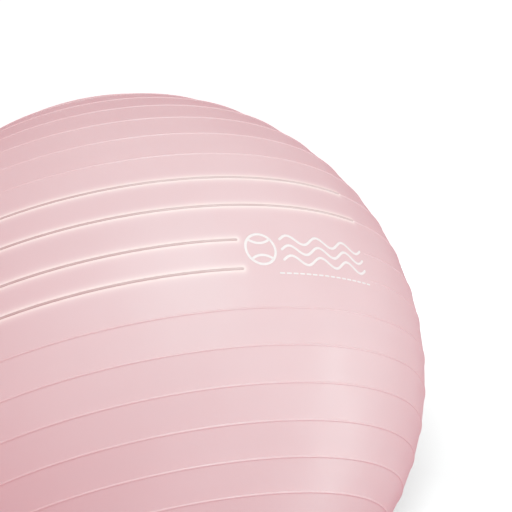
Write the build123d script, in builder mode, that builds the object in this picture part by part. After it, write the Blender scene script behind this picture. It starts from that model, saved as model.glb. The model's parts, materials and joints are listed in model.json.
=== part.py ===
from build123d import *
import os
from math import acos, cos, degrees, radians, sin, sqrt

os.makedirs("parts", exist_ok=True)

# An inflated exercise ball that lies on the floor. Its wall is one hollow piece with raised
# ribs that run round the ball like circles of latitude about the pole axis. The valve is at
# the upper pole. The origin is the middle of the small flat patch that the ball rests on.

# ---- Driving dimensions, in millimetres and degrees ----

BALL_DIAMETER = 650  # over the ribs
WALL_THICKNESS = 0.7
PATCH_RADIUS = 37  # where the wall between the ribs lies flat on the floor

RIB_HEIGHT = 0.7
RIB_ROUND_RADIUS = 1.3  # of the rib's cross-section
BAND_DROP = 0.5  # how much flatter than round the wall is, midway between two ribs
MIDDLE_RIB_LATITUDE = 2.86  # the pair beside the equator
NEXT_RIB_LATITUDE = 10.19
RIB_PITCH = 6.64  # from there to the poles
EVEN_RIBS_PER_SIDE = 10

MARK_GAP = 31  # the middle pair stops for this much longitude, to leave a smooth field

POLE_LEAN = 33.3  # of the pole axis from upright
POLE_HEADING = 112.9  # the way it leans, from +X towards +Y
MARK_SPIN = 197.6  # of the field about the pole axis, from the lowest longitude

SEAT_COLLAR_RADIUS = 11
SEAT_FLANGE_RADIUS = 17
SEAT_FLANGE_THICKNESS = 1.2
SEAT_NECK_RADIUS = 10.4
SEAT_NECK_END_RADIUS = 6.5
SEAT_DEPTH = 22
SEAT_EDGE_CHAMFER = 0.35

HEAD_RADIUS = 7.4
HEAD_THICKNESS = 2
HEAD_FILLET = 0.7
HEAD_DISH_RADIUS = 3.6
HEAD_DISH_DEPTH = 0.5
HEAD_SIDE_GAP = 0.3
HEAD_UNDER_GAP = 0.05

BORE_RADIUS = 4.05
RING_CLEARANCE = 0.05  # between the stem's rings and the bore
STEM_RADIUS = 3.5
STEM_LENGTH = 17
STEM_TIP_RADIUS = 2.6
STEM_TIP_LENGTH = 3.5
RING_COUNT = 3
RING_PITCH = 4
RING_WIDTH = 1.8
RING_LAND = 0.5  # the ring's flat top; the rest of its width is a ramp
FIRST_RING_DEPTH = 3.5  # below the underside of the head

PRY_NOTCH_RADIUS = 2.2
PRY_NOTCH_OFFSET = 6.8  # from the pole axis
PRY_NOTCH_DEPTH = 3.2

# ---- Sizes and places worked out from those ----

BALL_RADIUS = BALL_DIAMETER / 2
WALL_RADIUS = BALL_RADIUS - RIB_HEIGHT
AIR_RADIUS = WALL_RADIUS - WALL_THICKNESS
CENTRE_HEIGHT = sqrt(WALL_RADIUS**2 - PATCH_RADIUS**2)

RIB_CENTRE_RADIUS = BALL_RADIUS - RIB_ROUND_RADIUS  # from the ball's centre
RIB_HALF_ANGLE = degrees(
    acos(
        (RIB_CENTRE_RADIUS**2 + WALL_RADIUS**2 - RIB_ROUND_RADIUS**2)
        / (2 * RIB_CENTRE_RADIUS * WALL_RADIUS)
    )
)

HEAD_SEAT_HEIGHT = WALL_RADIUS - HEAD_THICKNESS - HEAD_UNDER_GAP  # along the pole axis
HEAD_LOW = HEAD_SEAT_HEIGHT + HEAD_UNDER_GAP
HEAD_TOP = HEAD_LOW + HEAD_THICKNESS
RING_RADIUS = BORE_RADIUS - RING_CLEARANCE

centre = Vector(0, 0, CENTRE_HEIGHT)
level = Vector(cos(radians(POLE_HEADING)), sin(radians(POLE_HEADING)), 0)
pole = level * sin(radians(POLE_LEAN)) + Vector(0, 0, cos(radians(POLE_LEAN)))
downhill = level * cos(radians(POLE_LEAN)) - Vector(0, 0, sin(radians(POLE_LEAN)))
sideways = pole.cross(downhill)
pole_axis = Axis(centre, pole)


def meridian(longitude):
    """The plane of one longitude: x goes out from the pole axis and y goes along it."""
    turn = radians(MARK_SPIN + longitude)
    outward = downhill * cos(turn) + sideways * sin(turn)
    return Plane(origin=centre, x_dir=outward, z_dir=outward.cross(pole))


def polar(radius, latitude):
    """A point of a meridian plane."""
    return Vector(radius * cos(radians(latitude)), radius * sin(radians(latitude)))


def wall_arc(radius, start_latitude, end_latitude):
    """A stretch of the wall in a meridian plane: flatter than round between two ribs, and
    round about the ball's centre over the polar caps and the field for the mark."""
    drop = BAND_DROP if end_latitude - start_latitude < 2 * RIB_PITCH else 0
    ThreePointArc(
        polar(radius, start_latitude),
        polar(radius - drop, (start_latitude + end_latitude) / 2),
        polar(radius, end_latitude),
    )


def at_radius(distance, sphere_radius):
    """The point of a sphere's meridian at a distance from the pole axis, at the upper pole."""
    return Vector(distance, sqrt(sphere_radius**2 - distance**2))


# ---- Ball shell: one moulded wall with its ribs ----

even_latitudes = [NEXT_RIB_LATITUDE + i * RIB_PITCH for i in range(EVEN_RIBS_PER_SIDE)]
whole_ribs = sorted([-latitude for latitude in even_latitudes] + even_latitudes)
middle_ribs = [-MIDDLE_RIB_LATITUDE, MIDDLE_RIB_LATITUDE]

with BuildPart() as air:
    with BuildSketch(meridian(0)):
        with BuildLine():
            wall_ends = [-90] + whole_ribs + [90]
            for latitude, next_latitude in zip(wall_ends, wall_ends[1:]):
                wall_arc(AIR_RADIUS, latitude, next_latitude)
            Line((0, AIR_RADIUS), (0, -AIR_RADIUS))
        make_face()
    revolve(axis=pole_axis)
    split(bisect_by=Plane.XY.offset(WALL_THICKNESS), keep=Keep.TOP)

with BuildPart() as ball_shell:
    with BuildSketch(meridian(0)):
        with BuildLine():
            latitude = -90
            for rib in whole_ribs:
                wall_arc(WALL_RADIUS, latitude, rib - RIB_HALF_ANGLE)
                ThreePointArc(
                    polar(WALL_RADIUS, rib - RIB_HALF_ANGLE),
                    polar(BALL_RADIUS, rib),
                    polar(WALL_RADIUS, rib + RIB_HALF_ANGLE),
                )
                latitude = rib + RIB_HALF_ANGLE
            wall_arc(WALL_RADIUS, latitude, 90)
            Line((0, WALL_RADIUS), (0, -WALL_RADIUS))
        make_face()
    revolve(axis=pole_axis)

    # The middle pair of ribs starts and ends at the smooth field, with round noses.
    with BuildSketch(meridian(MARK_GAP / 2)):
        with Locations(*[polar(RIB_CENTRE_RADIUS, rib) for rib in middle_ribs]):
            Circle(RIB_ROUND_RADIUS)
    revolve(axis=pole_axis, revolution_arc=360 - MARK_GAP)
    for gap_end in (-MARK_GAP / 2, MARK_GAP / 2):
        for rib in middle_ribs:
            with Locations(meridian(gap_end).from_local_coords(polar(RIB_CENTRE_RADIUS, rib))):
                Sphere(RIB_ROUND_RADIUS)

    # The flat patch, the air space and the hole for the valve seat.
    split(bisect_by=Plane.XY, keep=Keep.TOP)
    add(air.part, mode=Mode.SUBTRACT)
    with BuildSketch(Plane(origin=centre + pole * (AIR_RADIUS - RIB_HEIGHT), z_dir=pole)):
        Circle(SEAT_COLLAR_RADIUS)
    extrude(amount=2 * RIB_HEIGHT + WALL_THICKNESS, mode=Mode.SUBTRACT)
ball_shell.part.label = "ball_shell"
export_step(ball_shell.part, "parts/ball_shell.step")

# ---- Valve seat: a soft insert welded into the wall, with a recess and a bore ----

with BuildPart() as valve_seat:
    with BuildSketch(meridian(0)):
        with BuildLine():
            collar_top = at_radius(SEAT_COLLAR_RADIUS - SEAT_EDGE_CHAMFER, WALL_RADIUS)
            collar_side = Vector(SEAT_COLLAR_RADIUS, collar_top.Y - SEAT_EDGE_CHAMFER)
            flange_inner = at_radius(SEAT_COLLAR_RADIUS, AIR_RADIUS)
            flange_outer = at_radius(SEAT_FLANGE_RADIUS, AIR_RADIUS)
            flange_low = flange_outer.Y - SEAT_FLANGE_THICKNESS
            neck_low = WALL_RADIUS - SEAT_DEPTH
            recess_radius = HEAD_RADIUS + HEAD_SIDE_GAP
            recess_top = at_radius(recess_radius, WALL_RADIUS)
            Polyline(
                (recess_radius, HEAD_SEAT_HEIGHT),
                (BORE_RADIUS, HEAD_SEAT_HEIGHT),
                (BORE_RADIUS, neck_low),
                (SEAT_NECK_END_RADIUS, neck_low),
                (SEAT_NECK_RADIUS, flange_low),
                (SEAT_FLANGE_RADIUS, flange_low),
                flange_outer,
            )
            RadiusArc(flange_outer, flange_inner, -AIR_RADIUS)
            Polyline(flange_inner, collar_side, collar_top)
            RadiusArc(collar_top, recess_top, -WALL_RADIUS)
            Line(recess_top, (recess_radius, HEAD_SEAT_HEIGHT))
        make_face()
    revolve(axis=pole_axis)

    # A notch beside the head, for the tip of a plug puller.
    notch_plane = Plane(origin=centre + pole * WALL_RADIUS, x_dir=meridian(0).x_dir, z_dir=pole)
    with BuildSketch(notch_plane):
        with Locations((PRY_NOTCH_OFFSET, 0)):
            Circle(PRY_NOTCH_RADIUS)
    extrude(amount=-PRY_NOTCH_DEPTH, mode=Mode.SUBTRACT)
valve_seat.part.label = "valve_seat"
export_step(valve_seat.part, "parts/valve_seat.step")

# ---- Valve plug: a stopper with a dished head and a ringed stem ----

stem_low = HEAD_LOW - STEM_LENGTH
stem_outline = [
    (0, stem_low),
    (STEM_TIP_RADIUS, stem_low),
    (STEM_RADIUS, stem_low + STEM_TIP_LENGTH),
]
for i in reversed(range(RING_COUNT)):
    ring_top = HEAD_LOW - FIRST_RING_DEPTH - i * RING_PITCH
    stem_outline += [
        (STEM_RADIUS, ring_top - RING_WIDTH),
        (RING_RADIUS, ring_top - RING_LAND),
        (RING_RADIUS, ring_top),
        (STEM_RADIUS, ring_top),
    ]

with BuildPart() as valve_plug:
    with BuildSketch(meridian(0)):
        with BuildLine():
            Polyline(
                *stem_outline,
                (STEM_RADIUS, HEAD_LOW),
                (HEAD_RADIUS, HEAD_LOW),
                (HEAD_RADIUS, HEAD_TOP),
                (HEAD_DISH_RADIUS, HEAD_TOP),
                (HEAD_DISH_RADIUS - HEAD_DISH_DEPTH, HEAD_TOP - HEAD_DISH_DEPTH),
                (0, HEAD_TOP - HEAD_DISH_DEPTH),
                close=True,
            )
        make_face()
        fillet(vertices().group_by(Axis.X)[-1], HEAD_FILLET)
    revolve(axis=pole_axis)
valve_plug.part.label = "valve_plug"
export_step(valve_plug.part, "parts/valve_plug.step")
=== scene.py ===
import json
from math import acos, atan2, cos, hypot, pi, radians, sin, sqrt

import bpy
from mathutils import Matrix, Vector, noise


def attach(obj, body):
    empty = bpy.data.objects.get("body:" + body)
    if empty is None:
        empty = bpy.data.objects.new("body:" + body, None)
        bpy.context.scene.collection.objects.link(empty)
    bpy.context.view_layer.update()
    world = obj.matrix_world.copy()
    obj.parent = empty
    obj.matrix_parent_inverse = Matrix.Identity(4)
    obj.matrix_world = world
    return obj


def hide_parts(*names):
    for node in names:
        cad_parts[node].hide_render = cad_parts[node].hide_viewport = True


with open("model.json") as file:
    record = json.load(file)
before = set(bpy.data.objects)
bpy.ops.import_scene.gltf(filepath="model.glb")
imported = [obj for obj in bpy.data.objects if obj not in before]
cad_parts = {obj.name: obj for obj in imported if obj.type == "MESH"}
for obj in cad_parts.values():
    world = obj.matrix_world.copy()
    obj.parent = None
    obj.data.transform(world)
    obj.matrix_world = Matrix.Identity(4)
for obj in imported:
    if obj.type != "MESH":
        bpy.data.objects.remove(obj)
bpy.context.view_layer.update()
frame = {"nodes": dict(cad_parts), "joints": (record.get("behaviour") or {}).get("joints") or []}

# An exercise ball of soft vinyl. The wall, the printed mark and the rib lines of painted shade are
# made here around the CAD valve. Places on the ball are given as a latitude and a longitude
# about the pole axis: the valve is at the upper pole, and the mark is at longitude 0.

MM = 0.001

# ---- The ball's dimensions, as in the CAD model ----

BALL_RADIUS = 325 * MM  # over the ribs
RIB_HEIGHT = 0.7 * MM
WALL_THICKNESS = 0.7 * MM
PATCH_RADIUS = 37 * MM  # of the flat patch that the ball rests on
WALL_RADIUS = BALL_RADIUS - RIB_HEIGHT
AIR_RADIUS = WALL_RADIUS - WALL_THICKNESS
VALVE_HOLE_RADIUS = 11 * MM

MIDDLE_RIB = radians(2.86)  # the latitude of the pair that leaves room for the mark
NEXT_RIB = radians(10.19)
RIB_PITCH = radians(6.64)  # from there to the poles
EVEN_RIBS_PER_SIDE = 10
MARK_GAP = radians(31)  # how much longitude the middle ribs leave free
MARK_SPIN = radians(197.6)  # of the mark about the pole axis, from the lowest longitude

# ---- Finer shape than the CAD solid has ----

CREST_RADIUS = 1.3 * MM  # of a rib's round top
FOOT_RADIUS = 0.8 * MM  # of the hollow where a rib meets the wall
BAND_DROP = 0.5 * MM  # how much flatter than round the wall is between two ribs
FIELD_DROP = 0.3 * MM  # and how much it is in the smooth field for the mark
FIELD_EDGE = radians(3.3)  # from the rib beside the field to where it is that flat
FIELD_BLEND = radians(5)  # past the field's ends, while it turns into bands between ribs
UNEVEN_HEIGHT = 0.07 * MM  # of the slow swells that rotational moulding leaves
UNEVEN_LENGTH = 85 * MM
PATCH_SOFTNESS = 0.6 * MM  # how gently the wall rolls onto the floor
HOLE_EDGE_ROUND = 0.25 * MM
HOLE_EDGE_MIDDLE = 0.3  # how far in the rounding's middle row is, as a share of it

# ---- The wall's mesh ----

COLUMNS = 188  # evenly round the pole axis
CREST_ROWS = (0.36, 0.68, 1)  # shares of the way from a rib's top to where its hollow begins
FOOT_ROWS = (0.6, 0.25, 0)  # and on from there to the wall
ROW_PAST_RIB = 0.8 * MM
ROWS_BETWEEN_RIBS = (0.25, 0.42, 0.58, 0.75)  # shares of the way from one rib to the next
CAP_ROWS = 7  # from the last rib to the pole
INNER_ROWS = 44
NOSE_COLUMNS = (-0.6, 0.0, 0.5, 0.9, 1.2, 1.5, 1.8, 2.1)  # millimetres past a middle rib's end

# ---- Places in the frame ----

pole = Vector(frame["joints"][0]["axis"]).normalized()  # the plug slides out along it
centre = Vector((0, 0, sqrt(WALL_RADIUS**2 - PATCH_RADIUS**2)))
lean = acos(pole.z)
level = Vector((pole.x, pole.y, 0)).normalized()
downhill = level * cos(lean) - Vector((0, 0, sin(lean)))
sideways = pole.cross(downhill)
mark_way = downhill * cos(MARK_SPIN) + sideways * sin(MARK_SPIN)
east = pole.cross(mark_way)

even_ribs = [NEXT_RIB + i * RIB_PITCH for i in range(EVEN_RIBS_PER_SIDE)]
ribs = sorted([-r for r in even_ribs] + [-MIDDLE_RIB, MIDDLE_RIB] + even_ribs)


# ---- The wall's surface ----

crest_centre = RIB_HEIGHT - CREST_RADIUS
rib_half_width = sqrt((CREST_RADIUS + FOOT_RADIUS) ** 2 - (FOOT_RADIUS - crest_centre) ** 2)
crest_angle = atan2(rib_half_width, FOOT_RADIUS - crest_centre)
crest_half_width = CREST_RADIUS * sin(crest_angle)


def rib_profile(distance):
    """A rib's height at a distance from its centre line."""
    if distance <= crest_half_width:
        return crest_centre + sqrt(CREST_RADIUS**2 - distance**2)
    if distance < rib_half_width:
        return FOOT_RADIUS - sqrt(FOOT_RADIUS**2 - (rib_half_width - distance) ** 2)
    return 0.0


def rib_rise(latitude, longitude):
    """The height of whichever rib is at this place. The middle pair ends at the mark, in
    round noses."""
    nearest = min(ribs, key=lambda rib: abs(rib - latitude))
    across = abs(nearest - latitude) * WALL_RADIUS
    if abs(nearest) > MIDDLE_RIB:
        return rib_profile(across)
    past_end = max(0.0, MARK_GAP / 2 - abs(longitude)) * WALL_RADIUS
    return rib_profile(hypot(across, past_end))


def smooth_step(value, low, high):
    share = min(1.0, max(0.0, (value - low) / (high - low)))
    return share * share * (3 - 2 * share)


def band_dip(latitude, longitude):
    """How far the wall is below round here, from none at a rib to most half-way between two."""
    dip = 0.0
    for low, high in zip(ribs, ribs[1:]):
        if low <= latitude <= high:
            share = (latitude - low) / (high - low)
            dip = BAND_DROP * 4 * share * (1 - share) * ((high - low) / RIB_PITCH) ** 2
    if abs(latitude) >= NEXT_RIB:
        return dip
    from_edge = (NEXT_RIB - abs(latitude)) / FIELD_EDGE
    field_dip = FIELD_DROP * (1 - (1 - min(1.0, from_edge)) ** 2)
    past_end = smooth_step(abs(longitude), MARK_GAP / 2, MARK_GAP / 2 + FIELD_BLEND)
    return field_dip + (dip - field_dip) * past_end


def direction(latitude, longitude):
    """The way from the ball's centre to a place on it."""
    outward = mark_way * cos(longitude) + east * sin(longitude)
    return outward * cos(latitude) + pole * sin(latitude)


def rest_on_floor(point, floor_height):
    """Rolls a point that would be under the floor gently onto it."""
    over = point.z - floor_height
    point.z = floor_height + (over + sqrt(over**2 + PATCH_SOFTNESS**2)) / 2
    return point


def wall_point(latitude, longitude, above=0.0):
    """A point of the outer surface, or at a height above it."""
    way = direction(latitude, longitude)
    radius = WALL_RADIUS + rib_rise(latitude, longitude) - band_dip(latitude, longitude) + above
    radius -= UNEVEN_HEIGHT * (1 + noise.noise(way * WALL_RADIUS / UNEVEN_LENGTH)) / 2
    return rest_on_floor(centre + way * radius, 0.0)


def inner_radius(latitude):
    """The inside of the wall: the valve seat's flange fits it at the pole, and elsewhere it
    is lower by about half the dips between the ribs."""
    low_share = 1 - smooth_step(abs(latitude), ribs[-1], ribs[-1] + RIB_PITCH)
    return AIR_RADIUS - BAND_DROP / 2 * low_share


# ---- Mesh helpers ----


def add_mesh(name, points, faces, material):
    """A smooth-shaded mesh object of one material."""
    mesh = bpy.data.meshes.new(name)
    mesh.from_pydata([tuple(p) for p in points], [], faces)
    mesh.polygons.foreach_set("use_smooth", [True] * len(mesh.polygons))
    mesh.materials.append(material)
    mesh.update()
    piece = bpy.data.objects.new(name, mesh)
    bpy.context.scene.collection.objects.link(piece)
    return piece


def ring_faces(rows, columns):
    """Quads between rows of points that each close on themselves."""
    faces = []
    for row in range(rows - 1):
        for column in range(columns):
            a = row * columns + column
            b = row * columns + (column + 1) % columns
            faces.append((a, b, b + columns, a + columns))
    return faces


# ---- Materials ----


class Nodes:
    """Short calls for building one material's node graph."""

    def __init__(self, name):
        self.material = bpy.data.materials.new(name)
        self.material.use_nodes = True
        self.tree = self.material.node_tree
        self.shader = self.tree.nodes["Principled BSDF"]

    def add(self, kind, inputs=(), **settings):
        node = self.tree.nodes.new(kind)
        for key, value in settings.items():
            setattr(node, key, value)
        for key, value in dict(inputs).items():
            self.put(node.inputs[key], value)
        return node

    def put(self, socket, value):
        """Links a socket to another node's output, or sets its value."""
        if isinstance(value, bpy.types.NodeSocket):
            self.tree.links.new(value, socket)
        else:
            socket.default_value = value

    def math(self, operation, *values):
        node = self.add("ShaderNodeMath", operation=operation)
        for socket, value in zip(node.inputs, values):
            self.put(socket, value)
        return node.outputs[0]

    def vector(self, operation, *values):
        node = self.add("ShaderNodeVectorMath", operation=operation)
        for socket, value in zip(node.inputs, values):
            self.put(socket, value)
        scalar = operation in ("DOT_PRODUCT", "LENGTH")
        return node.outputs["Value" if scalar else "Vector"]

    def place(self):
        """The point being shaded, in the row frame at rest."""
        return self.add("ShaderNodeTexCoord").outputs["Object"]

    def noise(self, scale, detail):
        """Uneven values between 0 and 1, in about as many patches to a metre as the scale says."""
        sockets = {"Vector": self.place(), "Scale": scale, "Detail": detail}
        return self.add("ShaderNodeTexNoise", sockets).outputs["Fac"]

    def ramp(self, value, low, high, out_low=0.0, out_high=1.0, smooth=True):
        """Turns the stretch of values from low to high into another, and holds its ends."""
        interpolation = "SMOOTHSTEP" if smooth else "LINEAR"
        sockets = {0: value, 1: low, 2: high, 3: out_low, 4: out_high}
        return self.add("ShaderNodeMapRange", sockets, interpolation_type=interpolation).outputs[0]

    def mix(self, share, first, second):
        node = self.add("ShaderNodeMix", data_type="RGBA")
        colours = [socket for socket in node.inputs if socket.type == "RGBA"]
        for socket, value in zip([node.inputs[0]] + colours, (share, first, second)):
            self.put(socket, value)
        return node.outputs[2]

    def bump(self, height, distance, normal=None):
        """The shading direction of a surface that stands out by the distance where the height
        is 1. The normal is the direction that it starts from."""
        sockets = {"Height": height, "Distance": distance}
        if normal is not None:
            sockets["Normal"] = normal
        return self.add("ShaderNodeBump", sockets).outputs["Normal"]

    def set(self, **sockets):
        """Sets the shader's sockets; an underscore stands for a space."""
        for key, value in sockets.items():
            self.put(self.shader.inputs[key.replace("_", " ")], value)


VINYL_PINK = (0.80, 0.603, 0.622, 1)
VINYL_PINK_PALE = (0.822, 0.632, 0.651, 1)
CREAM = (0.985, 0.862, 0.84, 1)
# Painted shade: the dark line along an accent rib's crest stands for the rib's shadow line.
SHADE_LINE_TAUPE = (0.62, 0.475, 0.47, 1)
# Paler taupe for the lines near the mark: a painted highlight where the light on them is
# brightest.
SHADE_LINE_TAUPE_LIT = (0.70, 0.585, 0.575, 1)
INK_WHITE = (0.89, 0.872, 0.872, 1)
INK_WHITE_WORN = (0.87, 0.835, 0.838, 1)
VALVE_PINK = (0.86, 0.64, 0.65, 1)
VALVE_PINK_PALE = (0.88, 0.69, 0.70, 1)
PLUG_WHITE = (0.86, 0.86, 0.83, 1)
PLUG_WHITE_PALE = (0.91, 0.91, 0.89, 1)

VINYL_REACH = (1.0, 0.45, 0.4)  # how far red, green and blue light go into it
PLUG_REACH = (1, 0.9, 0.8)

WALL_ROUGHNESS = (0.36, 0.44)
INK_ROUGHNESS = (0.42, 0.52)
LINE_ROUGHNESS = (0.34, 0.42)
VALVE_ROUGHNESS = (0.36, 0.46)
PLUG_ROUGHNESS = (0.3, 0.42)

# The stretch of a noise's values over which its patches blend into each other.
CLEAR_PATCHES = (0.35, 0.65)
SOFT_PATCHES = (0.3, 0.7)
WALL_MOTTLING = 0.6  # how far large patches of the wall go to the pale pink
WALL_SPECKLE = 0.25  # and how far fine ones do
INK_WEAR = 0.35

ACCENT_START = radians(-105)
ACCENT_PAIRS = (  # the ribs of a painted pair, and the longitude where their paint ends
    ((NEXT_RIB, NEXT_RIB + RIB_PITCH), MARK_GAP / 2),
    ((-MIDDLE_RIB, MIDDLE_RIB), -MARK_GAP / 2),
)
ACCENT_GLOW_CORE = 2.8 * MM
ACCENT_GLOW_FADE = 2.1 * MM
PAINT_DULLNESS = 0.15  # added to the wall's roughness by the cream paint
BRIGHT_LIGHT_STRETCH = (radians(-52), radians(-16))  # towards the mark, where the light is brightest: lines painted paler, cream weaker
# The cream is held down near the mark to offset the brighter light there.
GLOW_LEFT_AT_MARK = 0.78
LINE_LIT_PALING = 0.75  # how far the lines go to the paler colour at the mark: a painted highlight
LINE_MOTTLING = 0.25


def place_on_ball(g):
    """The latitude and longitude of the point being shaded."""
    from_centre = g.vector("SUBTRACT", g.place(), tuple(centre))
    way = g.vector("NORMALIZE", from_centre)
    latitude = g.math("ARCSINE", g.vector("DOT_PRODUCT", way, tuple(pole)))
    along_east = g.vector("DOT_PRODUCT", way, tuple(east))
    along_mark = g.vector("DOT_PRODUCT", way, tuple(mark_way))
    return latitude, g.math("ARCTAN2", along_east, along_mark)


def accent_glow(g):
    """How much of the soft cream paint lies here: full beside an accent rib, hardly any
    8 mm away, and less towards the mark, to offset the brighter light that falls there."""
    latitude, longitude = place_on_ball(g)
    nearest = None
    for pair, end in ACCENT_PAIRS:
        offsets = [g.math("ABSOLUTE", g.math("SUBTRACT", latitude, rib)) for rib in pair]
        across = g.math("MINIMUM", *offsets)
        past = g.math(
            "MAXIMUM",
            g.math("SUBTRACT", longitude, end),
            g.math("SUBTRACT", ACCENT_START, longitude),
        )
        past = g.math("MAXIMUM", past, 0.0)
        squares = g.math("ADD", g.math("POWER", across, 2.0), g.math("POWER", past, 2.0))
        away = g.math("SQRT", squares)
        nearest = away if nearest is None else g.math("MINIMUM", nearest, away)
    distance = g.math("MULTIPLY", nearest, BALL_RADIUS)
    fade = g.math("DIVIDE", g.math("SUBTRACT", ACCENT_GLOW_CORE, distance), ACCENT_GLOW_FADE)
    # Less cream towards the mark, to offset the brighter light that falls there.
    toned_for_light = g.ramp(longitude, *BRIGHT_LIGHT_STRETCH, 1.0, GLOW_LEFT_AT_MARK)
    return g.math("MULTIPLY", g.math("MINIMUM", g.math("EXPONENT", fade), 1.0), toned_for_light)


def vinyl_wall_material():
    g = Nodes("vinyl_wall")
    mottling = g.ramp(g.noise(7, 3), *CLEAR_PATCHES)
    speckle = g.ramp(g.noise(900, 2), *SOFT_PATCHES, 0.0, WALL_SPECKLE)
    blend = g.math("ADD", g.math("MULTIPLY", mottling, WALL_MOTTLING), speckle)
    colour = g.mix(blend, VINYL_PINK, VINYL_PINK_PALE)
    glow = accent_glow(g)
    colour = g.mix(glow, colour, CREAM)
    sheen = g.ramp(g.noise(18, 4), *SOFT_PATCHES, *WALL_ROUGHNESS)
    roughness = g.math("ADD", sheen, g.math("MULTIPLY", glow, PAINT_DULLNESS))
    grain = g.bump(g.noise(1600, 3), 0.03 * MM)
    peel = g.bump(g.noise(140, 2), 0.05 * MM, normal=grain)
    g.set(Base_Color=colour, Roughness=roughness, Normal=peel)
    g.set(Specular_IOR_Level=0.6, Subsurface_Weight=0.08, Subsurface_Scale=6 * MM)
    g.set(Subsurface_Radius=VINYL_REACH)
    return g.material


def ink_material():
    g = Nodes("white_ink")
    blend = g.ramp(g.noise(300, 3), *CLEAR_PATCHES, 0.0, INK_WEAR)
    colour = g.mix(blend, INK_WHITE, INK_WHITE_WORN)
    roughness = g.ramp(g.noise(120, 3), *SOFT_PATCHES, *INK_ROUGHNESS)
    g.set(Base_Color=colour, Roughness=roughness, Normal=g.bump(g.noise(1800, 2), 0.02 * MM))
    return g.material


# The dark rib lines are painted shade: their taupe stands for the accent ribs' shadow lines.
def rib_shade_line_material():
    g = Nodes("painted_rib_shade")
    longitude = place_on_ball(g)[1]
    # A painted highlight: the line is paler towards the mark, where the light is brightest.
    toned_for_light = g.ramp(longitude, *BRIGHT_LIGHT_STRETCH, 0.0, LINE_LIT_PALING)
    mottling = g.ramp(g.noise(60, 3), *CLEAR_PATCHES, 0.0, LINE_MOTTLING)
    blend = g.math("ADD", toned_for_light, mottling)
    colour = g.mix(blend, SHADE_LINE_TAUPE, SHADE_LINE_TAUPE_LIT)
    roughness = g.ramp(g.noise(90, 3), *SOFT_PATCHES, *LINE_ROUGHNESS)
    g.set(Base_Color=colour, Roughness=roughness, Normal=g.bump(g.noise(1500, 2), 0.02 * MM))
    return g.material


def valve_vinyl_material():
    g = Nodes("valve_vinyl")
    blend = g.ramp(g.noise(260, 3), *CLEAR_PATCHES)
    colour = g.mix(blend, VALVE_PINK, VALVE_PINK_PALE)
    roughness = g.ramp(g.noise(200, 3), *SOFT_PATCHES, *VALVE_ROUGHNESS)
    g.set(Base_Color=colour, Roughness=roughness, Normal=g.bump(g.noise(1500, 2), 0.03 * MM))
    g.set(Subsurface_Weight=0.2, Subsurface_Radius=VINYL_REACH, Subsurface_Scale=3 * MM)
    return g.material


def plug_material():
    g = Nodes("white_stopper")
    blend = g.ramp(g.noise(220, 3), *CLEAR_PATCHES)
    colour = g.mix(blend, PLUG_WHITE, PLUG_WHITE_PALE)
    roughness = g.ramp(g.noise(500, 4), *SOFT_PATCHES, *PLUG_ROUGHNESS)
    g.set(Base_Color=colour, Roughness=roughness, Normal=g.bump(g.noise(1200, 3), 0.02 * MM))
    g.set(Subsurface_Weight=0.15, Subsurface_Radius=PLUG_REACH, Subsurface_Scale=2 * MM)
    return g.material


# ---- The wall ----


def wall_latitudes():
    """The rows of the outer surface: close together over each rib and wide apart between ribs."""
    crest = [CREST_RADIUS * sin(crest_angle * share) for share in CREST_ROWS]
    foot = [rib_half_width - FOOT_RADIUS * sin(crest_angle * share) for share in FOOT_ROWS]
    steps = crest + foot + [rib_half_width + ROW_PAST_RIB]
    rows = []
    for rib in ribs:
        offsets = [-s for s in reversed(steps)] + [0.0] + steps
        rows += [rib + s / WALL_RADIUS for s in offsets]
    for low, high in zip(ribs, ribs[1:]):
        rows += [low + (high - low) * share for share in ROWS_BETWEEN_RIBS]
    hole_edge = acos((VALVE_HOLE_RADIUS + HOLE_EDGE_ROUND) / WALL_RADIUS)
    for i in range(1, CAP_ROWS):
        rows.append(ribs[0] + (-pi / 2 - ribs[0]) * i / CAP_ROWS)
        rows.append(ribs[-1] + (hole_edge - ribs[-1]) * i / CAP_ROWS)
    rows.append(hole_edge)
    return sorted(rows)


def wall_longitudes():
    """The columns: evenly round the ball, and close together at the noses of the middle ribs."""
    columns = [-pi + 2 * pi * i / COLUMNS for i in range(COLUMNS)]
    for side in (-1, 1):
        for past_end in NOSE_COLUMNS:
            columns.append(side * (MARK_GAP / 2 - past_end * MM / WALL_RADIUS))
    return sorted(columns)


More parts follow.
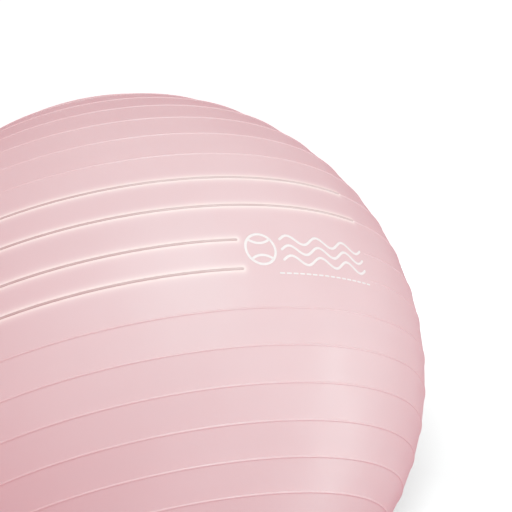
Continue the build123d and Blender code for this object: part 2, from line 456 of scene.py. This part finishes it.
def build_wall(material):
    """The whole wall as one closed surface: outside, edge of the valve hole, and inside."""
    longitudes = wall_longitudes()
    latitudes = wall_latitudes()
    points = [wall_point(lat, lon) for lat in latitudes for lon in longitudes]
    hole_top = sqrt(WALL_RADIUS**2 - VALVE_HOLE_RADIUS**2)
    hole_low = sqrt(AIR_RADIUS**2 - VALVE_HOLE_RADIUS**2)
    middle = HOLE_EDGE_ROUND * HOLE_EDGE_MIDDLE
    edge = [
        (VALVE_HOLE_RADIUS + middle, hole_top - middle),
        (VALVE_HOLE_RADIUS, hole_top - HOLE_EDGE_ROUND),
        (VALVE_HOLE_RADIUS, hole_low),
    ]
    for radius, height in edge:
        for lon in longitudes:
            outward = mark_way * cos(lon) + east * sin(lon)
            points.append(centre + outward * radius + pole * height)
    inner_top = acos(VALVE_HOLE_RADIUS / AIR_RADIUS)
    for i in range(1, INNER_ROWS):
        lat = inner_top + (-pi / 2 - inner_top) * i / INNER_ROWS
        for lon in longitudes:
            point = centre + direction(lat, lon) * inner_radius(lat)
            points.append(rest_on_floor(point, WALL_THICKNESS))
    rows = len(latitudes) + len(edge) + INNER_ROWS - 1
    columns = len(longitudes)
    faces = ring_faces(rows, columns)
    outer_pole = len(points)
    points.append(wall_point(-pi / 2, 0))
    inner_pole = len(points)
    points.append(rest_on_floor(centre - pole * inner_radius(-pi / 2), WALL_THICKNESS))
    last = (rows - 1) * columns
    for column in range(columns):
        after = (column + 1) % columns
        faces.append((after, column, outer_pole))
        faces.append((last + column, last + after, inner_pole))
    return add_mesh("ball_wall", points, faces, material)


# ---- Painted shade lines and printed mark ----

PAINT_THICKNESS = 0.25 * MM
RIBBON_TIP = 0.12  # the width of a strip's very end, as a share of its full width
RIBBON_END_STEPS = 5


def ribbon(path, half_width, above, steps_across):
    """Points and faces of a thin painted strip that follows the wall along a path of
    (longitude distance, latitude distance) points about the mark, with round ends. Its top
    is as far above the wall as it says, and its underside is in the wall."""
    way_in = Vector(path[1]) - Vector(path[0])
    way_out = Vector(path[-1]) - Vector(path[-2])
    stations = []
    for i in range(RIBBON_END_STEPS):
        turn = pi / 2 * i / RIBBON_END_STEPS
        stations.append((Vector(path[0]), way_in, -cos(turn), sin(turn)))
    for before, here, after in zip([path[0]] + path, path, path[1:] + [path[-1]]):
        stations.append((Vector(here), Vector(after) - Vector(before), 0.0, 1.0))
    for i in reversed(range(RIBBON_END_STEPS)):
        turn = pi / 2 * i / RIBBON_END_STEPS
        stations.append((Vector(path[-1]), way_out, cos(turn), sin(turn)))
    points = []
    for here, way, beyond, wide in stations:
        along = way.normalized()
        left = Vector((-along.y, along.x))
        spot = here + along * beyond * half_width
        width = max(wide, RIBBON_TIP)
        shares = [2 * i / steps_across - 1 for i in range(steps_across + 1)]
        row = [spot + left * half_width * width * share for share in shares]
        for height, order in ((above - PAINT_THICKNESS, row), (above, reversed(row))):
            for x, y in order:
                lat = y / WALL_RADIUS
                lon = x / (WALL_RADIUS * cos(lat))
                points.append(wall_point(lat, lon, height))
    around = 2 * (steps_across + 1)
    faces = ring_faces(len(stations), around)
    last = len(points) - around
    for low in range(steps_across):
        high = around - 1 - low  # the upper point over this lower one
        faces.append((high, high - 1, low + 1, low))
        faces.append((last + low, last + low + 1, last + high - 1, last + high))
    return points, faces


LINE_ABOVE = 0.06 * MM
LINE_HALF_WIDTH = 1.35 * MM
LINE_STEPS_ACROSS = 6
LINE_STEP = radians(0.5)


def build_rib_line(name, rib, end, material):
    """A dark line along the crest of an accent rib: painted shade for the rib's shadow line."""
    count = int((end - ACCENT_START) / LINE_STEP)
    path = []
    for i in range(count + 1):
        lon = ACCENT_START + (end - ACCENT_START) * i / count
        path.append((lon * WALL_RADIUS * cos(rib), rib * WALL_RADIUS))
    points, faces = ribbon(path, LINE_HALF_WIDTH, LINE_ABOVE, LINE_STEPS_ACROSS)
    return add_mesh(name, points, faces, material)


# The mark is a ball drawn in outline, with waves beside it and a dashed line below. Its
# measures run along the ball from the middle of the smooth field.

MARK_STROKE = 2.8 * MM
MARK_ABOVE = 0.1 * MM
MARK_STEPS_ACROSS = 4
ICON_CENTRE = (-63 * MM, 5 * MM)
ICON_RADIUS = 16.8 * MM
ICON_SEAM_OFFSET = ICON_RADIUS * 1.55  # of the arcs inside the outline, from its middle
ICON_SEAM_RADIUS = ICON_RADIUS * 1.15
ICON_SEAM_HALF = radians(38)
WAVE_START = -38 * MM
WAVE_END = 78 * MM
WAVE_ROWS = (16.5 * MM, 5 * MM, -6.5 * MM)
WAVE_SWING = 4.8 * MM
WAVE_PITCH = 38.7 * MM
PATH_STEP = 1.4 * MM
DASH_ROW = -21.5 * MM
DASH_LENGTH = 4.6 * MM
DASH_PITCH = 8.2 * MM
DASH_COUNT = 16
DASH_START = -46 * MM
DASH_STROKE = 1.7 * MM
DASH_POINTS = (0, 0.33, 0.67, 1)  # shares of its length


def circle_path(middle, radius, start, end):
    count = int((end - start) * radius / PATH_STEP)
    path = []
    for i in range(count + 1):
        turn = start + (end - start) * i / count
        path.append((middle[0] + radius * cos(turn), middle[1] + radius * sin(turn)))
    return path


def wave_path(row):
    count = int((WAVE_END - WAVE_START) / PATH_STEP)
    path = []
    for i in range(count + 1):
        x = WAVE_START + (WAVE_END - WAVE_START) * i / count
        path.append((x, row + WAVE_SWING * sin(2 * pi * (x - WAVE_START) / WAVE_PITCH)))
    return path


def build_mark(material):
    paths = [circle_path(ICON_CENTRE, ICON_RADIUS, 0, 2 * pi)]
    for side in (-1, 1):
        seam_centre = (ICON_CENTRE[0], ICON_CENTRE[1] + side * ICON_SEAM_OFFSET)
        inward = -side * pi / 2  # the way from there to the icon's middle
        start, end = inward - ICON_SEAM_HALF, inward + ICON_SEAM_HALF
        paths.append(circle_path(seam_centre, ICON_SEAM_RADIUS, start, end))
    paths += [wave_path(row) for row in WAVE_ROWS]
    strips = [ribbon(path, MARK_STROKE / 2, MARK_ABOVE, MARK_STEPS_ACROSS) for path in paths]
    for i in range(DASH_COUNT):
        x = DASH_START + i * DASH_PITCH
        path = [(x + DASH_LENGTH * share, DASH_ROW) for share in DASH_POINTS]
        strips.append(ribbon(path, DASH_STROKE / 2, MARK_ABOVE, MARK_STEPS_ACROSS))
    points, faces = [], []
    for strip_points, strip_faces in strips:
        first = len(points)
        points += strip_points
        faces += [tuple(i + first for i in face) for face in strip_faces]
    return add_mesh("printed_mark", points, faces, material)


# ---- Floor, light and camera ----

FLOOR_HALF_SIZE = 1000  # metres
FLOOR_WHITE = (0.394, 0.415, 0.417, 1)  # the world's light is pinkish, and this evens it out
FLOOR_GLOW = (0.345, 0.84)  # near the ball and far from it
FLOOR_GLOW_REACH = (0.9, 3.5)  # how many metres out the one ends and the other begins
FLOOR_DROP = 0.2 * MM  # keeps the floor from flickering through the flat patch
WORLD_LIGHT_ABOVE = (0.78, 0.498, 0.512, 1)
WORLD_LIGHT_BELOW = (0.751, 0.421, 0.463, 1)  # pinker, as light that has been on the ball
WORLD_BLEND = 0.6  # how far above and below level the two mix, as a sine
WORLD_GLOSS = (0.45, 0.07, 0.137, 1)


def build_floor():
    """A white floor that goes on to the horizon and takes a soft shadow. It is partly lit
    from within, most of all far from the ball, and throws neither light nor shade on it."""
    half = FLOOR_HALF_SIZE
    points = [(-half, -half, 0), (half, -half, 0), (half, half, 0), (-half, half, 0)]
    g = Nodes("floor_paper")
    g.set(Base_Color=FLOOR_WHITE, Roughness=0.9)
    g.set(Specular_IOR_Level=0.0, Emission_Color=(1, 1, 1, 1))
    distance = g.vector("LENGTH", g.place())
    g.set(Emission_Strength=g.ramp(distance, *FLOOR_GLOW_REACH, *FLOOR_GLOW, smooth=False))
    floor = add_mesh("floor", points, [(0, 1, 2, 3)], g.material)
    floor.location.z = -FLOOR_DROP
    floor.visible_diffuse = False
    floor.visible_glossy = False
    floor.visible_shadow = False
    return floor


def add_softbox(name, azimuth, elevation, power, colour=(1, 1, 1), distance=3.0, size=(2.2, 2.2)):
    """A rectangular light that faces the ball's centre. Azimuth is to the right of -Y, the
    ball's front, elevation is above level, and size is width and height."""
    az, el = radians(azimuth), radians(elevation)
    way = Vector((sin(az) * cos(el), -cos(az) * cos(el), sin(el)))
    light = bpy.data.lights.new(name, "AREA")
    light.shape = "RECTANGLE"
    light.size, light.size_y = size
    light.energy = power
    light.color = colour
    lamp = bpy.data.objects.new(name, light)
    lamp.location = centre + way * distance
    lamp.rotation_euler = way.to_track_quat("Z", "Y").to_euler()
    lamp.visible_camera = False
    bpy.context.scene.collection.objects.link(lamp)
    return lamp


def light_only(lamp, receiver):
    """Keeps a lamp's light to one object. The others still throw their shadow on it."""
    lit = bpy.data.collections.new(f"lit_by_{lamp.name}")
    lit.objects.link(receiver)
    lamp.light_linking.receiver_collection = lit


def build_lamps(floor):
    """The lamps round the ball are a little green and blue, and with the pinkish world they
    make about white. The last lights the floor alone, and the ball shades it a little."""
    add_softbox("key", azimuth=27, elevation=44, power=39, colour=(0.65, 1.15, 1.09))
    add_softbox("fill", azimuth=-22, elevation=13, power=10, colour=(0.84, 1.13, 1.10))
    add_softbox(
        "strip",
        azimuth=81,
        elevation=-14,
        power=13,
        colour=(0.69, 1.11, 1.05),
        distance=2.2,
        size=(0.3, 2.2),
    )
    back = add_softbox(
        "back", azimuth=178, elevation=10, power=34, colour=(0.72, 1.12, 1.08), size=(2.6, 2.0)
    )
    back.visible_glossy = False  # its reflection would show along the front view's outline
    add_softbox("side", azimuth=-122, elevation=2, power=18, colour=(0.60, 1.13, 1.08))
    floor_lamp = add_softbox(
        "floor_lamp", azimuth=-0.5, elevation=18, power=430, distance=4.0, size=(0.3, 0.3)
    )
    light_only(floor_lamp, floor)


def light_all_round(tree):
    """Links the background's colour to go from the light below to the light above."""
    way = tree.nodes.new("ShaderNodeTexCoord").outputs["Generated"]
    split = tree.nodes.new("ShaderNodeSeparateXYZ")
    share = tree.nodes.new("ShaderNodeMapRange")
    light = tree.nodes.new("ShaderNodeMix")
    light.data_type = "RGBA"
    below, above = [socket for socket in light.inputs if socket.type == "RGBA"]
    below.default_value = WORLD_LIGHT_BELOW
    above.default_value = WORLD_LIGHT_ABOVE
    share.inputs["From Min"].default_value = -WORLD_BLEND
    share.inputs["From Max"].default_value = WORLD_BLEND
    tree.links.new(way, split.inputs[0])
    tree.links.new(split.outputs["Z"], share.inputs["Value"])
    tree.links.new(share.outputs[0], light.inputs[0])
    tree.links.new(light.outputs[2], tree.nodes["Background"].inputs["Color"])


def build_world():
    """Light from all round, a little dimmer from below. The camera sees plain white past
    the floor, and gloss reflects a dimmer, pinker room, so the ball's rim keeps its colour."""
    world = bpy.data.worlds.new("studio")
    world.use_nodes = True
    tree = world.node_tree
    light_all_round(tree)
    paths = tree.nodes.new("ShaderNodeLightPath")
    shade = tree.nodes["Background"].outputs[0]
    for ray, colour in (("Is Glossy Ray", WORLD_GLOSS), ("Is Camera Ray", (1, 1, 1, 1))):
        seen = tree.nodes.new("ShaderNodeBackground")
        seen.inputs["Color"].default_value = colour
        mix = tree.nodes.new("ShaderNodeMixShader")
        tree.links.new(paths.outputs[ray], mix.inputs["Fac"])
        tree.links.new(shade, mix.inputs[1])
        tree.links.new(seen.outputs[0], mix.inputs[2])
        shade = mix.outputs[0]
    tree.links.new(shade, tree.nodes["World Output"].inputs["Surface"])
    bpy.context.scene.world = world


CAMERA_PITCH = radians(8)  # below level
CAMERA_DEPTH = 2.1006  # from the camera to the ball's centre, along the view
BALL_LEFT_OF_VIEW = 0.06307  # share of the depth
BALL_BELOW_VIEW = 0.06656
LENS = 129.3
SENSOR_WIDTH = 36  # in millimetres, as the lens is
VIEW_END = 3000  # past the floor's corners


def build_camera():
    forward = Vector((0, cos(CAMERA_PITCH), -sin(CAMERA_PITCH)))
    up = Vector((0, sin(CAMERA_PITCH), cos(CAMERA_PITCH)))
    right = Vector((1, 0, 0))
    camera = bpy.data.objects.new("camera", bpy.data.cameras.new("camera"))
    aside = right * BALL_LEFT_OF_VIEW + up * BALL_BELOW_VIEW
    camera.location = centre - (forward - aside) * CAMERA_DEPTH
    camera.rotation_euler = (pi / 2 - CAMERA_PITCH, 0, 0)
    camera.data.lens = LENS
    camera.data.sensor_width = SENSOR_WIDTH
    camera.data.clip_end = VIEW_END
    bpy.context.scene.collection.objects.link(camera)
    bpy.context.scene.camera = camera


# ---- The scene ----

build_camera()
floor = build_floor()
build_world()
build_lamps(floor)
bpy.context.scene.view_settings.view_transform = "Standard"

wall = build_wall(vinyl_wall_material())
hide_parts("ball_shell")
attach(wall, "ball")

# The accent ribs' dark lines: painted shade along their crests.
rib_shade_paint = rib_shade_line_material()
ribs_with_shade_lines = [(rib, end) for pair, end in ACCENT_PAIRS for rib in pair]
for number, (rib, end) in enumerate(ribs_with_shade_lines, start=1):
    line = build_rib_line(f"rib_line_{number}", rib, end, rib_shade_paint)
    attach(line, "ball")

mark = build_mark(ink_material())
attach(mark, "ball")

frame["nodes"]["valve_seat"].material_slots[0].material = valve_vinyl_material()
frame["nodes"]["valve_plug"].material_slots[0].material = plug_material()
